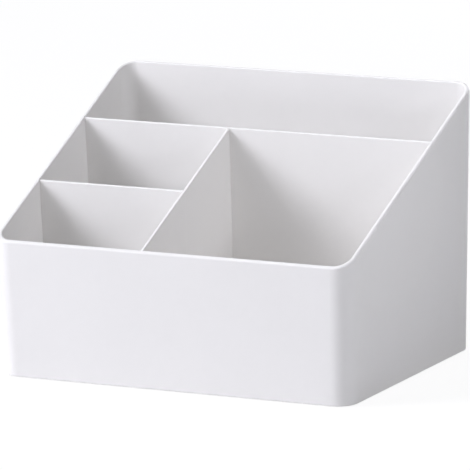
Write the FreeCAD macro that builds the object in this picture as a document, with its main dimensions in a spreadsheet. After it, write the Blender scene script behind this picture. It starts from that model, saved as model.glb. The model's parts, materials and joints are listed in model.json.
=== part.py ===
import FreeCAD, Part
import os
import Sketcher

# Desk storage box: an open moulded tub with a sloping rim, three drop-in dividers and four feet.
# Millimetres, +Z up, front towards -Y. The origin is on the desk, under the middle of the box.

# Driving dimensions: name, value, meaning
DIMENSIONS = [
    ("overall_width", "250", "outside width at the back rim"),
    ("overall_depth", "181.3", "outside depth from front rim to back rim"),
    ("front_height", "86.6", "desk to rim at the front"),
    ("back_height", "170.2", "desk to rim at the back"),
    ("wall_draft", "1.4", "degrees that each wall leans outwards"),
    ("wall_thickness", "2.9", "wall, measured level"),
    ("floor_thickness", "2.6", "floor of the tub"),
    ("corner_radius", "12", "rounding of the upright outside corners"),
    ("base_round", "0.8", "rounding of the lower outside edge"),
    ("floor_round", "1", "rounding where the walls meet the floor inside"),
    ("rim_round", "1.5", "rounding of the rim's outside edge"),
    ("rim_inner_round", "0.9", "rounding of the rim's inside edge"),
    ("divider_thickness", "1.6", "all three dividers"),
    ("divider_round", "0.4", "rounding along the top edges of a divider"),
    ("divider_corner", "0.5", "rounding of the top corners of a divider"),
    ("divider_setdown", "0.9", "tops of the dividers below the rim plane"),
    ("rear_setback", "59.1", "back of the box to the middle of the rear divider"),
    ("left_setback", "60.3", "front of the box to the middle of the left divider"),
    ("centre_offset", "18.9", "middle of the box to the middle of the centre divider, leftwards"),
    ("wall_groove", "0.7", "depth of the divider grooves in the walls"),
    ("cross_groove", "0.5", "depth of the grooves in the dividers"),
    ("fit_clearance", "0.1", "gap between a divider and each face of its groove"),
    ("foot_diameter", "12", "anti-slip foot"),
    ("foot_proud", "0.6", "height of the underside above the desk"),
    ("foot_recess", "1", "depth of the foot's seat in the underside"),
    ("foot_round", "0.4", "rounding of the foot's lower edge"),
    ("foot_clearance", "0.3", "gap round the foot in its seat"),
    ("foot_inset", "20", "side of the underside to the middle of a foot"),
]

doc = FreeCAD.newDocument("desk_storage_box")
dims = doc.addObject("Spreadsheet::Sheet", "dims")
for row, (alias, value, meaning) in enumerate(DIMENSIONS, start=1):
    dims.set(f"A{row}", alias)
    dims.set(f"B{row}", value)
    dims.set(f"C{row}", meaning)
    dims.setAlias(f"B{row}", alias)
doc.recompute()

# Heights and planes that several pieces share, as expressions on the sheet

LEAN = "tan(dims.wall_draft)"
SLOPE = "((dims.back_height - dims.front_height) / dims.overall_depth)"
UNDERSIDE = "dims.foot_proud"
FLOOR = "(dims.foot_proud + dims.floor_thickness)"
MIDDLE_Y = f"((dims.front_height - dims.back_height) * {LEAN} / 2)"
REAR_Y = "(dims.overall_depth / 2 - dims.rear_setback)"
LEFT_Y = "(dims.left_setback - dims.overall_depth / 2)"
CENTRE_X = "(-dims.centre_offset)"
HALF_DIVIDER = "(dims.divider_thickness / 2)"
HALF_SLOT = f"({HALF_DIVIDER} + dims.fit_clearance)"
ABOVE_ALL = "(2 * dims.back_height)"


def outer_half_width(z):
    """Half the outside width of the tub at height z."""
    return f"(dims.overall_width / 2 - (dims.back_height - {z}) * {LEAN})"


def outer_half_depth(z):
    """Half the outside depth of the tub at height z, about MIDDLE_Y."""
    return f"(dims.overall_depth / 2 - (dims.front_height / 2 + dims.back_height / 2 - {z}) * {LEAN})"


def groove_half_width(z):
    """Middle plane to the end of a groove in a side wall at height z."""
    return f"({outer_half_width(z)} - dims.wall_thickness + dims.wall_groove)"


def groove_front_y(z):
    """End of the groove in the front wall at height z."""
    return f"({MIDDLE_Y} - {outer_half_depth(z)} + dims.wall_thickness - dims.wall_groove)"


def rim_height(y):
    """Height of the sloping rim plane at depth y."""
    return f"(dims.front_height + ({y} + dims.overall_depth / 2) * {SLOPE})"


def divider_top(y):
    """Height of a divider's top above the tub's floor at depth y."""
    return f"({rim_height(y)} - dims.divider_setdown - {FLOOR})"


def number(expression):
    """Present value of an expression on the sheet."""
    return float(dims.evalExpression(expression))


# Sketches and features

def new_sketch(body, name, role, height="0"):
    """Sketch on one of the body's own origin planes, moved along its normal."""
    sketch = body.newObject("Sketcher::SketchObject", name)
    plane = next(feature for feature in body.Origin.OriginFeatures if feature.Role == role)
    sketch.AttachmentSupport = [(plane, "")]
    sketch.MapMode = "FlatFace"
    sketch.setExpression("AttachmentOffset.Base.z", height)
    return sketch


def pin_point(sketch, element, point, x, y):
    """Hold one point of a sketch at the place that two expressions give."""
    for kind, expression in (("DistanceX", x), ("DistanceY", y)):
        index = sketch.addConstraint(Sketcher.Constraint(kind, -1, 1, element, point, number(expression)))
        sketch.setExpression(f"Constraints[{index}]", expression)


def polygon(body, name, role, corners, height="0"):
    """Closed outline of straight edges through corners given as pairs of expressions."""
    sketch = new_sketch(body, name, role, height)
    points = [FreeCAD.Vector(number(x), number(y), 0) for x, y in corners]
    count = len(points)
    for index in range(count):
        sketch.addGeometry(Part.LineSegment(points[index], points[(index + 1) % count]), False)
    for index in range(count):
        sketch.addConstraint(Sketcher.Constraint("Coincident", index, 2, (index + 1) % count, 1))
    for index, (x, y) in enumerate(corners):
        pin_point(sketch, index, 1, x, y)
    return sketch


def level_rectangle(body, name, inset, height):
    """Level rectangle at a height: the outside of the tub there, drawn in by an inset."""
    half_width = f"({outer_half_width(height)} - {inset})"
    half_depth = f"({outer_half_depth(height)} - {inset})"
    corners = []
    for side_x, side_y in ((-1, -1), (1, -1), (1, 1), (-1, 1)):
        corners.append((f"{side_x} * {half_width}", f"({MIDDLE_Y} + {side_y} * {half_depth})"))
    return polygon(body, name, "XY_Plane", corners, height)


def circles(body, name, places, diameter, height):
    """Equal level circles at places given as pairs of expressions."""
    sketch = new_sketch(body, name, "XY_Plane", height)
    for element, (x, y) in enumerate(places):
        centre = FreeCAD.Vector(number(x), number(y), 0)
        sketch.addGeometry(Part.Circle(centre, FreeCAD.Vector(0, 0, 1), number(diameter) / 2), False)
        pin_point(sketch, element, 3, x, y)
        index = sketch.addConstraint(Sketcher.Constraint("Diameter", element, number(diameter)))
        sketch.setExpression(f"Constraints[{index}]", diameter)
    return sketch


def pad(body, sketch, length, side="One side"):
    """Solid raised from a sketch."""
    feature = body.newObject("PartDesign::Pad", f"{sketch.Name}_pad")
    feature.Profile = sketch
    feature.SideType = side
    feature.setExpression("Length", length)
    doc.recompute()
    return feature


def pocket(body, sketch, length, side="One side", backwards=False):
    """Cut from a sketch, which has to take something away."""
    before = body.Shape.Volume
    feature = body.newObject("PartDesign::Pocket", f"{sketch.Name}_pocket")
    feature.Profile = sketch
    feature.SideType = side
    feature.Reversed = backwards
    feature.setExpression("Length", length)
    doc.recompute()
    if body.Shape.Volume >= before:
        raise RuntimeError(f"{feature.Name} cuts nothing")
    return feature


def flat_face(feature, direction):
    """Name of the largest flat face of a feature that looks in the given direction."""
    wanted = FreeCAD.Vector(*direction).normalize()
    found = []
    for index, face in enumerate(feature.Shape.Faces, start=1):
        if isinstance(face.Surface, Part.Plane) and face.normalAt(0, 0).dot(wanted) > 0.99999:
            found.append((face.Area, f"Face{index}"))
    return max(found)[1]


def edge_names(feature, chosen):
    """Names of the edges of a feature that are among the chosen ones."""
    names = []
    for index, edge in enumerate(feature.Shape.Edges, start=1):
        if any(edge.isSame(other) for other in chosen):
            names.append(f"Edge{index}")
    return names


def fillet(body, feature, elements, radius):
    """Round the named edges of a feature, or every edge of the named faces."""
    rounded = body.newObject("PartDesign::Fillet", f"{feature.Name}_round")
    rounded.Base = (feature, elements)
    rounded.setExpression("Radius", radius)
    doc.recompute()
    return rounded


def round_face(body, feature, direction, radius):
    """Round every edge of one flat face."""
    return fillet(body, feature, [flat_face(feature, direction)], radius)


def round_corners(body, feature, direction, radius):
    """Round the upright edges that start at the corners of one flat face."""
    face = feature.Shape.getElement(flat_face(feature, direction))
    corners = [vertex.Point for vertex in face.Vertexes]
    upright = []
    for index, edge in enumerate(feature.Shape.Edges, start=1):
        in_face = any(edge.isSame(other) for other in face.Edges)
        ends = [vertex.Point for vertex in edge.Vertexes]
        if not in_face and any(end.isEqual(corner, 1e-5) for end in ends for corner in corners):
            upright.append(f"Edge{index}")
    return fillet(body, feature, upright, radius)


def lean_walls(body, feature, level, backwards):
    """Lean the four upright flat faces of a feature outwards, from the height of one level face."""
    leaning = body.newObject("PartDesign::Draft", f"{feature.Name}_lean")
    leaning.Base = (feature, [flat_face(feature, direction) for direction in SIDES])
    leaning.NeutralPlane = (feature, [flat_face(feature, level)])
    leaning.Reversed = backwards
    leaning.setExpression("Angle", "dims.wall_draft")
    doc.recompute()
    return leaning


def place(body, x, y, z):
    """Put a body at the place that three expressions give."""
    for axis, expression in (("x", x), ("y", y), ("z", z)):
        body.setExpression(f"Placement.Base.{axis}", expression)
    doc.recompute()


UP = (0, 0, 1)
DOWN = (0, 0, -1)
SIDES = ((-1, 0, 0), (1, 0, 0), (0, -1, 0), (0, 1, 0))
RIM_NORMAL = (0, -number(SLOPE), 1)


# Tub

FEET = {}
for end, side_y in (("front", -1), ("rear", 1)):
    for side, side_x in (("left", -1), ("right", 1)):
        FEET[f"foot_{end}_{side}"] = (
            f"{side_x} * ({outer_half_width(UNDERSIDE)} - dims.foot_inset)",
            f"({MIDDLE_Y} + {side_y} * ({outer_half_depth(UNDERSIDE)} - dims.foot_inset))",
        )


def rim_edges(feature, outside):
    """Names of the edges of the rim face: those round the outside, or those round the hollow."""
    face = feature.Shape.getElement(flat_face(feature, RIM_NORMAL))
    wires = [wire for wire in face.Wires if wire.isSame(face.OuterWire) == outside]
    return edge_names(feature, [edge for wire in wires for edge in wire.Edges])


def make_tub():
    """Drafted tub with a sloping rim, divider grooves in its walls and seats for the feet."""
    body = doc.addObject("PartDesign::Body", "box_tub")
    outline = level_rectangle(body, "tub_outline", "0", UNDERSIDE)
    blank_height = f"(dims.back_height + dims.wall_thickness - {UNDERSIDE})"
    blank = pad(body, outline, blank_height)
    lean_walls(body, blank, DOWN, True)
    hollow = level_rectangle(body, "tub_hollow", "dims.wall_thickness", FLOOR)
    hollowed = pocket(body, hollow, blank_height, backwards=True)
    lean_walls(body, hollowed, UP, False)

    beyond = "dims.overall_depth"
    slope = polygon(body, "rim_slope", "YZ_Plane", [
        (f"-{beyond}", rim_height(f"-{beyond}")),
        (beyond, rim_height(beyond)),
        (beyond, ABOVE_ALL),
        (f"-{beyond}", ABOVE_ALL),
    ])
    sloped = pocket(body, slope, "2 * dims.overall_width", side="Symmetric")

    cornered = round_corners(body, sloped, DOWN, "dims.corner_radius")
    softened = round_corners(body, cornered, UP, "dims.corner_radius - dims.wall_thickness")
    based = round_face(body, softened, DOWN, "dims.base_round")
    floored = round_face(body, based, UP, "dims.floor_round")
    rounded = fillet(body, floored, rim_edges(floored, outside=True), "dims.rim_round")
    fillet(body, rounded, rim_edges(rounded, outside=False), "dims.rim_inner_round")

    make_wall_grooves(body)
    seat_diameter = "(dims.foot_diameter + 2 * dims.foot_clearance)"
    seats = circles(body, "foot_seats", FEET.values(), seat_diameter, UNDERSIDE)
    pocket(body, seats, "dims.foot_recess", backwards=True)
    return body


def make_wall_grooves(body):
    """Upright grooves from the rim to the floor, for the ends of the dividers."""
    rear = polygon(body, "rear_groove", "XZ_Plane", [
        (f"-{groove_half_width(FLOOR)}", FLOOR),
        (groove_half_width(FLOOR), FLOOR),
        (groove_half_width(ABOVE_ALL), ABOVE_ALL),
        (f"-{groove_half_width(ABOVE_ALL)}", ABOVE_ALL),
    ], f"-{REAR_Y}")
    left = polygon(body, "left_groove", "XZ_Plane", [
        (f"-{groove_half_width(FLOOR)}", FLOOR),
        (CENTRE_X, FLOOR),
        (CENTRE_X, ABOVE_ALL),
        (f"-{groove_half_width(ABOVE_ALL)}", ABOVE_ALL),
    ], f"-{LEFT_Y}")
    front = polygon(body, "front_groove", "YZ_Plane", [
        (groove_front_y(FLOOR), FLOOR),
        (REAR_Y, FLOOR),
        (REAR_Y, ABOVE_ALL),
        (groove_front_y(ABOVE_ALL), ABOVE_ALL),
    ], CENTRE_X)
    for groove in (rear, left, front):
        pocket(body, groove, f"2 * {HALF_SLOT}", side="Symmetric")


# Dividers, each in its own frame: the floor of the tub is z = 0

def top_edges(feature, across):
    """Names of the edges of a divider's top face: those across its thickness, or those along it."""
    face = feature.Shape.getElement(flat_face(feature, RIM_NORMAL))
    limit = 2 * number("dims.divider_thickness")
    return edge_names(feature, [edge for edge in face.Edges if (edge.Length < limit) == across])


def round_top(body, feature):
    """Round the two top corners of a divider, then the edges along its top."""
    cornered = fillet(body, feature, top_edges(feature, across=True), "dims.divider_corner")
    fillet(body, cornered, top_edges(cornered, across=False), "dims.divider_round")


def slope_top(body, name, y):
    """Cut the top of a divider that stands across the box along the slope of the rim."""
    beyond = "dims.divider_thickness"
    wedge = polygon(body, name, "YZ_Plane", [
        (f"-{beyond}", divider_top(f"({y} - {beyond})")),
        (beyond, divider_top(f"({y} + {beyond})")),
        (beyond, ABOVE_ALL),
        (f"-{beyond}", ABOVE_ALL),
    ])
    return pocket(body, wedge, "2 * dims.overall_width", side="Symmetric")


def end_half_width(z):
    """Middle plane to the end of a divider in its side groove, at height z above the floor."""
    return f"({groove_half_width(f'({FLOOR} + {z})')} - dims.fit_clearance)"


def make_rear_divider():
    """Upright panel across the whole tub, with a groove for the centre divider in its front."""
    body = doc.addObject("PartDesign::Body", "rear_divider")
    outline = polygon(body, "rear_outline", "XZ_Plane", [
        (f"-{end_half_width('0')}", "0"),
        (end_half_width("0"), "0"),
        (end_half_width("dims.back_height"), "dims.back_height"),
        (f"-{end_half_width('dims.back_height')}", "dims.back_height"),
    ])
    pad(body, outline, "dims.divider_thickness", side="Symmetric")
    topped = slope_top(body, "rear_top", REAR_Y)
    round_top(body, topped)
    groove = polygon(body, "rear_cross_groove", "XY_Plane", [
        (f"({CENTRE_X} - {HALF_SLOT})", f"-2 * {HALF_DIVIDER}"),
        (f"({CENTRE_X} + {HALF_SLOT})", f"-2 * {HALF_DIVIDER}"),
        (f"({CENTRE_X} + {HALF_SLOT})", f"(dims.cross_groove - {HALF_DIVIDER})"),
        (f"({CENTRE_X} - {HALF_SLOT})", f"(dims.cross_groove - {HALF_DIVIDER})"),
    ])
    pocket(body, groove, ABOVE_ALL, side="Symmetric")
    place(body, "0", REAR_Y, FLOOR)
    return body


def make_centre_divider():
    """Upright panel from the front wall to the rear divider, with a groove for the left divider."""
    body = doc.addObject("PartDesign::Body", "centre_divider")
    front_foot = f"({groove_front_y(FLOOR)} + dims.fit_clearance)"
    front_top = f"(({front_foot} - {divider_top('0')} * {LEAN}) / (1 + {SLOPE} * {LEAN}))"
    rear_end = f"({REAR_Y} - {HALF_DIVIDER} + dims.cross_groove - dims.fit_clearance)"
    outline = polygon(body, "centre_outline", "YZ_Plane", [
        (front_foot, "0"),
        (rear_end, "0"),
        (rear_end, divider_top(rear_end)),
        (front_top, divider_top(front_top)),
    ])
    panel = pad(body, outline, "dims.divider_thickness", side="Symmetric")
    round_top(body, panel)
    groove = polygon(body, "centre_cross_groove", "XY_Plane", [
        (f"-2 * {HALF_DIVIDER}", f"({LEFT_Y} - {HALF_SLOT})"),
        (f"(dims.cross_groove - {HALF_DIVIDER})", f"({LEFT_Y} - {HALF_SLOT})"),
        (f"(dims.cross_groove - {HALF_DIVIDER})", f"({LEFT_Y} + {HALF_SLOT})"),
        (f"-2 * {HALF_DIVIDER}", f"({LEFT_Y} + {HALF_SLOT})"),
    ])
    pocket(body, groove, ABOVE_ALL, side="Symmetric")
    place(body, CENTRE_X, "0", FLOOR)
    return body


def make_left_divider():
    """Upright panel from the left wall to the centre divider."""
    body = doc.addObject("PartDesign::Body", "left_divider")
    right_end = f"({CENTRE_X} - {HALF_DIVIDER} + dims.cross_groove - dims.fit_clearance)"
    outline = polygon(body, "left_outline", "XZ_Plane", [
        (f"-{end_half_width('0')}", "0"),
        (right_end, "0"),
        (right_end, "dims.back_height"),
        (f"-{end_half_width('dims.back_height')}", "dims.back_height"),
    ])
    pad(body, outline, "dims.divider_thickness", side="Symmetric")
    topped = slope_top(body, "left_top", LEFT_Y)
    round_top(body, topped)
    place(body, "0", LEFT_Y, FLOOR)
    return body


# Feet

def make_foot(name, x, y):
    """Round rubber pad that stands proud of its seat under a corner of the tub."""
    body = doc.addObject("PartDesign::Body", name)
    outline = circles(body, f"{name}_outline", [("0", "0")], "dims.foot_diameter", "0")
    disc = pad(body, outline, "dims.foot_proud + dims.foot_recess")
    round_face(body, disc, DOWN, "dims.foot_round")
    place(body, x, y, "0")
    return body


pieces = [make_tub(), make_rear_divider(), make_centre_divider(), make_left_divider()]
pieces += [make_foot(name, x, y) for name, (x, y) in FEET.items()]
doc.recompute()

for item in doc.Objects:
    if "Invalid" in item.State or "Error" in item.State:
        raise RuntimeError(f"{item.Label} failed: {item.State}")
for piece in pieces:
    if piece.Shape.isNull() or not piece.Shape.isValid() or len(piece.Shape.Solids) != 1:
        raise RuntimeError(f"{piece.Label} is not one valid solid")

os.makedirs("parts", exist_ok=True)
for piece in pieces:
    piece.Shape.exportStep(f"parts/{piece.Label}.step")
    box = piece.Shape.optimalBoundingBox(False)
    print(f"{piece.Label}: {box.XLength:.2f} x {box.YLength:.2f} x {box.ZLength:.2f} mm, "
          f"{piece.Shape.Volume / 1000:.2f} cm3")
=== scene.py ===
"""Looks of the desk storage box: satin white plastic, grey rubber feet, a white floor and soft light."""
import json
import math

import bpy
from mathutils import Matrix, Vector


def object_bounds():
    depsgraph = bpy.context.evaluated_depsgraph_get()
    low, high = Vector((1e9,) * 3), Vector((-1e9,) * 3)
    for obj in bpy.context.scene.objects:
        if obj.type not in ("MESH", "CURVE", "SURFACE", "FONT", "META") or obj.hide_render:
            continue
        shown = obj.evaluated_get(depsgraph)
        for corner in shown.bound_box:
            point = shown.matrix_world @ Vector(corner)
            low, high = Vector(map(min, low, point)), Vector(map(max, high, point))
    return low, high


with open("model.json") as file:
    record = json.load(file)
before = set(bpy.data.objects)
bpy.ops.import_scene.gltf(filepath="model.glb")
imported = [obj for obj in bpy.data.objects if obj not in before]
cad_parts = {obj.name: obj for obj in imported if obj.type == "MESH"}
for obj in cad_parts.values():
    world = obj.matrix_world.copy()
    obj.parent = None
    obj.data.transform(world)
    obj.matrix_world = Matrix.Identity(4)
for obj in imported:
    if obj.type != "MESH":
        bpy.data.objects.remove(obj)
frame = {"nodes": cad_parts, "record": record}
cad_low, cad_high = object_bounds()
scene = bpy.context.scene

# Camera: where it looks and stands, in metres and degrees, and its lens and sensor in millimetres
CAMERA_AIM = Vector((-0.00013, 0.0002, 0.08086))
CAMERA_DISTANCE = 3.6454
CAMERA_AZIMUTH = 27.685
CAMERA_ELEVATION = 11.899
CAMERA_ROLL = 1.575
CAMERA_LENS = 448.25
SENSOR_WIDTH = 36.0

# Light: a strength of 1 shows a colour as it is written on a face square to the lamp.
# Each lamp has its azimuth and elevation in degrees, its distance, width and height in metres,
# its spread in degrees and its strength. What is seen directly is white at a strength of 1.
LAMPS = {
    "key": (-52, 22.5, 2.5, 0.9, 1.3, 180, 0.76),
    "key_high": (-60, 58, 2.5, 0.9, 0.9, 180, 0.18),
    "front_right": (23, 20, 2.5, 0.9, 0.9, 180, 0.12),
    "right_above": (80, 55, 0.55, 0.25, 0.25, 180, 0.19),
    "right_beam": (75, 20, 0.93, 0.2, 0.2, 30, 0.23),
    "rear_left": (-135, 60, 2.5, 0.9, 0.9, 180, 0.14),
    "rear": (180, 14, 2.5, 0.9, 0.9, 180, 0.27),
}
LAMP_COLOUR = (0.964, 0.972, 1.058)
WORLD_COLOUR = (1.0, 1.0, 1.0)
WORLD_STRENGTH = 0.09
SEEN_STRENGTH = 1.0

# Floor: half its width in metres, its own colour, and what the camera sees of it:
# plain white, and a colour that is lit
FLOOR_REACH = 12.0
FLOOR_COLOUR = (0.82, 0.82, 0.83)
FLOOR_WHITE = (0.88, 0.88, 0.88)
FLOOR_LIT = (0.16, 0.16, 0.16)

# Detail: the range that holds nearly all of a noise,
# and how open a plain face is, and a full edge or corner
NOISE_LOW = 0.3
NOISE_HIGH = 0.7
FACE_OPENNESS = 0.85
EDGE_OPENNESS = 0.45
EDGE_SAMPLES = 8

# Plastic: colour, sizes of its detail in metres, and the depth of its moulded grain
PLASTIC_COLOUR = (0.845, 0.831, 0.806)
PLASTIC_IOR = 1.52
GRAIN_SIZE = 0.00045
GRAIN_DEPTH = 0.00002
MOTTLE_SIZE = 0.006
CLOUD_SIZE = 0.055
EDGE_REACH = 0.0014
CORNER_REACH = 0.006

# Plastic: what each detail does to its brightness and to its roughness
CLOUD_BRIGHTNESS = (0.992, 1.006)
MOTTLE_BRIGHTNESS = (-0.004, 0.004)
GRAIN_BRIGHTNESS = (-0.006, 0.006)
EDGE_BRIGHTNESS = 0.02
# Painted shade: the colour darkens by this much in concave corners
CORNER_SHADE_BRIGHTNESS = -0.02
CLOUD_ROUGHNESS = (0.40, 0.46)
MOTTLE_ROUGHNESS = (-0.03, 0.03)
EDGE_ROUGHNESS = -0.10
CORNER_ROUGHNESS = 0.12

# Rubber: colour, size and depth of its skin in metres, and what its speckles do
RUBBER_COLOUR = (0.42, 0.42, 0.43)
RUBBER_IOR = 1.47
RUBBER_DEPTH = 0.00006
RUBBER_BRIGHTNESS = (0.94, 1.04)
SPECKLE_SIZE = 0.0005
SPECKLE_LOW = 0.35
SPECKLE_BRIGHTNESS = (-0.05, 0.10)
SPECKLE_ROUGHNESS = (0.72, 0.92)


def direction(azimuth, elevation):
    """Unit vector from the object towards a place, azimuth 0 at the front and 90 at the right."""
    across = math.radians(azimuth)
    up = math.radians(elevation)
    return Vector((math.sin(across) * math.cos(up), -math.cos(across) * math.cos(up), math.sin(up)))


def place_towards(thing, place, aim, roll=0.0):
    """Sets an object at a place, looking at aim, turned about its line of sight by roll degrees."""
    turn = (aim - place).to_track_quat("-Z", "Y").to_matrix() @ Matrix.Rotation(math.radians(roll), 3, "Z")
    thing.matrix_world = Matrix.Translation(place) @ turn.to_4x4()


def add_camera():
    """The camera at the photograph's viewing angle."""
    data = bpy.data.cameras.new("camera")
    data.lens = CAMERA_LENS
    data.sensor_width = SENSOR_WIDTH
    camera = bpy.data.objects.new("camera", data)
    scene.collection.objects.link(camera)
    place = CAMERA_AIM + direction(CAMERA_AZIMUTH, CAMERA_ELEVATION) * CAMERA_DISTANCE
    place_towards(camera, place, CAMERA_AIM, -CAMERA_ROLL)
    scene.camera = camera


def add_lamp(name, azimuth, elevation, distance, width, height, spread, strength):
    """A softbox that looks at the middle of the object, unseen by the camera."""
    data = bpy.data.lights.new(name, "AREA")
    data.shape = "RECTANGLE"
    data.size = width
    data.size_y = height
    half_spread = math.radians(spread / 2)
    data.spread = 2 * half_spread
    data.energy = strength * (math.pi * distance) ** 2 * (1 - half_spread / math.tan(half_spread))
    data.color = LAMP_COLOUR
    lamp = bpy.data.objects.new(name, data)
    lamp.visible_camera = False
    scene.collection.objects.link(lamp)
    aim = (cad_low + cad_high) / 2
    place_towards(lamp, aim + direction(azimuth, elevation) * distance, aim)


def add_shader(nodes, kind, colour, strength=None):
    """The output of a new shader node of one colour, with a strength where it gives light."""
    node = nodes.new(kind)
    node.inputs["Color"].default_value = (*colour, 1.0)
    if strength is not None:
        node.inputs["Strength"].default_value = strength
    return node.outputs[0]


def seen_directly(nodes, links):
    """A socket that is 1 where the camera, a reflection or a clear body looks straight at the surface."""
    path = nodes.new("ShaderNodeLightPath")
    seen = path.outputs["Is Camera Ray"]
    for ray in ("Is Glossy Ray", "Is Transmission Ray"):
        either = nodes.new("ShaderNodeMath")
        either.operation = "MAXIMUM"
        links.new(seen, either.inputs[0])
        links.new(path.outputs[ray], either.inputs[1])
        seen = either.outputs[0]
    return seen


def show(nodes, links, lighting, looks, output_kind):
    """Lights the object with one shader, and shows the other where it is seen directly."""
    mix = nodes.new("ShaderNodeMixShader")
    out = nodes.new(output_kind)
    links.new(seen_directly(nodes, links), mix.inputs["Fac"])
    links.new(lighting, mix.inputs[1])
    links.new(looks, mix.inputs[2])
    links.new(mix.outputs[0], out.inputs["Surface"])


def set_world():
    """Faint light from all round, and a white background."""
    world = bpy.data.worlds.new("studio")
    world.use_nodes = True
    nodes, links = world.node_tree.nodes, world.node_tree.links
    nodes.clear()
    fill = add_shader(nodes, "ShaderNodeBackground", WORLD_COLOUR, WORLD_STRENGTH)
    white = add_shader(nodes, "ShaderNodeBackground", WORLD_COLOUR, SEEN_STRENGTH)
    show(nodes, links, fill, white, "ShaderNodeOutputWorld")
    scene.world = world


def floor_material():
    """Matt floor that looks white to the camera and still shows the object's shadow."""
    material = bpy.data.materials.new("floor_white")
    material.use_nodes = True
    nodes, links = material.node_tree.nodes, material.node_tree.links
    nodes.clear()
    matt = add_shader(nodes, "ShaderNodeBsdfDiffuse", FLOOR_COLOUR)
    lit = add_shader(nodes, "ShaderNodeBsdfDiffuse", FLOOR_LIT)
    white = add_shader(nodes, "ShaderNodeEmission", FLOOR_WHITE, SEEN_STRENGTH)
    both = nodes.new("ShaderNodeAddShader")
    links.new(white, both.inputs[0])
    links.new(lit, both.inputs[1])
    show(nodes, links, matt, both.outputs[0], "ShaderNodeOutputMaterial")
    return material


def add_floor():
    """A wide plain floor under the object."""
    reach = FLOOR_REACH
    corners = [(-reach, -reach, 0), (reach, -reach, 0), (reach, reach, 0), (-reach, reach, 0)]
    mesh = bpy.data.meshes.new("floor")
    mesh.from_pydata(corners, [], [(0, 1, 2, 3)])
    mesh.materials.append(floor_material())
    floor = bpy.data.objects.new("floor", mesh)
    scene.collection.objects.link(floor)


class Finish:
    """A procedural material in the object's own coordinates, built up from named steps."""

    def __init__(self, name):
        self.material = bpy.data.materials.new(name)
        self.material.use_nodes = True
        self.nodes = self.material.node_tree.nodes
        self.links = self.material.node_tree.links
        self.shader = self.nodes["Principled BSDF"]
        self.place = self.nodes.new("ShaderNodeTexCoord").outputs["Object"]

    def noise(self, size, detail=2.0, roughness=0.5):
        """Cloudy noise between 0 and 1 whose features measure about size metres."""
        node = self.nodes.new("ShaderNodeTexNoise")
        node.inputs["Scale"].default_value = 1.0 / size
        node.inputs["Detail"].default_value = detail
        node.inputs["Roughness"].default_value = roughness
        self.links.new(self.place, node.inputs["Vector"])
        return node.outputs["Fac"]

    def near_edges(self, reach, inside):
        """1 at convex edges (inside) or in concave corners (outside), 0 on open faces."""
        node = self.nodes.new("ShaderNodeAmbientOcclusion")
        node.samples = EDGE_SAMPLES
        node.inside = inside
        node.only_local = True
        node.inputs["Distance"].default_value = reach
        return self.spread(node.outputs["AO"], 0.0, 1.0, FACE_OPENNESS, EDGE_OPENNESS)

    def spread(self, value, new_low, new_high, low=NOISE_LOW, high=NOISE_HIGH):
        """A value from low to high, spread over a new range and held within it."""
        node = self.nodes.new("ShaderNodeMapRange")
        limits = {"From Min": low, "From Max": high, "To Min": new_low, "To Max": new_high}
        for name, number in limits.items():
            node.inputs[name].default_value = number
        self.links.new(value, node.inputs["Value"])
        return node.outputs["Result"]

    def math(self, operation, first, second):
        """Two values, each a socket or a number, put together."""
        node = self.nodes.new("ShaderNodeMath")
        node.operation = operation
        for socket, value in zip(node.inputs, (first, second)):
            if isinstance(value, float):
                socket.default_value = value
            else:
                self.links.new(value, socket)
        return node.outputs["Value"]

    def total(self, *values):
        """Sum of several values."""
        result = values[0]
        for value in values[1:]:
            result = self.math("ADD", result, value)
        return result

    def colour(self, base, brightness):
        """The base colour times a brightness that varies over the surface."""
        node = self.nodes.new("ShaderNodeVectorMath")
        node.operation = "SCALE"
        node.inputs["Vector"].default_value = base
        self.links.new(brightness, node.inputs["Scale"])
        self.links.new(node.outputs["Vector"], self.shader.inputs["Base Color"])

    def gloss(self, roughness, ior):
        """A roughness that varies over the surface, and the index of refraction."""
        self.links.new(roughness, self.shader.inputs["Roughness"])
        self.shader.inputs["IOR"].default_value = ior

    def bump(self, height, depth):
        """Relief whose full depth is in metres."""
        node = self.nodes.new("ShaderNodeBump")
        node.inputs["Strength"].default_value = 1.0
        node.inputs["Distance"].default_value = depth
        self.links.new(height, node.inputs["Height"])
        self.links.new(node.outputs["Normal"], self.shader.inputs["Normal"])


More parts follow.
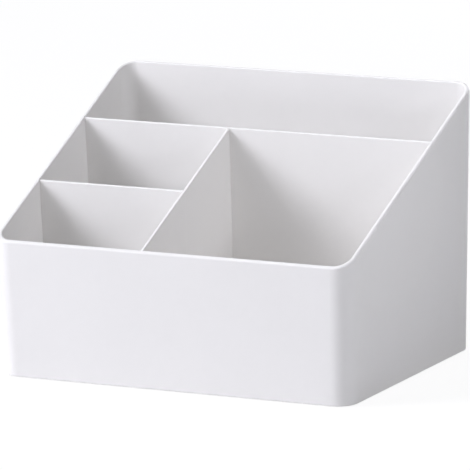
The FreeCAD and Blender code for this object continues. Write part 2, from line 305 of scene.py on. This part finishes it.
def satin_plastic():
    """Moulded plastic: fine matt grain, faint mottling, polished edges, painted shade and slightly rougher
    dust in the concave corners.
    """
    finish = Finish("white_plastic_satin")
    grain = finish.noise(GRAIN_SIZE, detail=3.0, roughness=0.6)
    mottle = finish.noise(MOTTLE_SIZE, detail=3.0)
    cloud = finish.noise(CLOUD_SIZE)
    edges = finish.near_edges(EDGE_REACH, inside=True)
    # Painted shade: this concave-corner mask darkens the colour; it also makes the corners rougher, like
    # dust
    corners = finish.near_edges(CORNER_REACH, inside=False)
    finish.colour(PLASTIC_COLOUR, finish.total(
        finish.spread(cloud, *CLOUD_BRIGHTNESS),
        finish.spread(mottle, *MOTTLE_BRIGHTNESS),
        finish.spread(grain, *GRAIN_BRIGHTNESS),
        finish.math("MULTIPLY", edges, EDGE_BRIGHTNESS),
        finish.math("MULTIPLY", corners, CORNER_SHADE_BRIGHTNESS)))
    finish.gloss(finish.total(
        finish.spread(cloud, *CLOUD_ROUGHNESS),
        finish.spread(mottle, *MOTTLE_ROUGHNESS),
        finish.math("MULTIPLY", edges, EDGE_ROUGHNESS),
        finish.math("MULTIPLY", corners, CORNER_ROUGHNESS)), PLASTIC_IOR)
    finish.bump(grain, GRAIN_DEPTH)
    return finish.material


def matt_rubber():
    """Grey rubber with dusty speckles and a rough skin."""
    finish = Finish("foot_rubber_matt")
    speckle = finish.noise(SPECKLE_SIZE, detail=4.0, roughness=0.7)
    cloud = finish.noise(MOTTLE_SIZE)
    finish.colour(RUBBER_COLOUR, finish.total(
        finish.spread(cloud, *RUBBER_BRIGHTNESS),
        finish.spread(speckle, *SPECKLE_BRIGHTNESS, low=SPECKLE_LOW)))
    finish.gloss(finish.spread(speckle, *SPECKLE_ROUGHNESS), RUBBER_IOR)
    finish.bump(speckle, RUBBER_DEPTH)
    return finish.material


def dress_nodes():
    """Gives every CAD node the finish of its slot in the record."""
    finishes = {"white_plastic": satin_plastic(), "foot_rubber": matt_rubber()}
    for part in frame["record"]["subparts"]:
        node = frame["nodes"][part["node"]]
        node.material_slots[0].material = finishes[part["material_slot"]]


scene.view_settings.view_transform = "Standard"
add_camera()
set_world()
for lamp_name, settings in LAMPS.items():
    add_lamp(lamp_name, *settings)
add_floor()
dress_nodes()
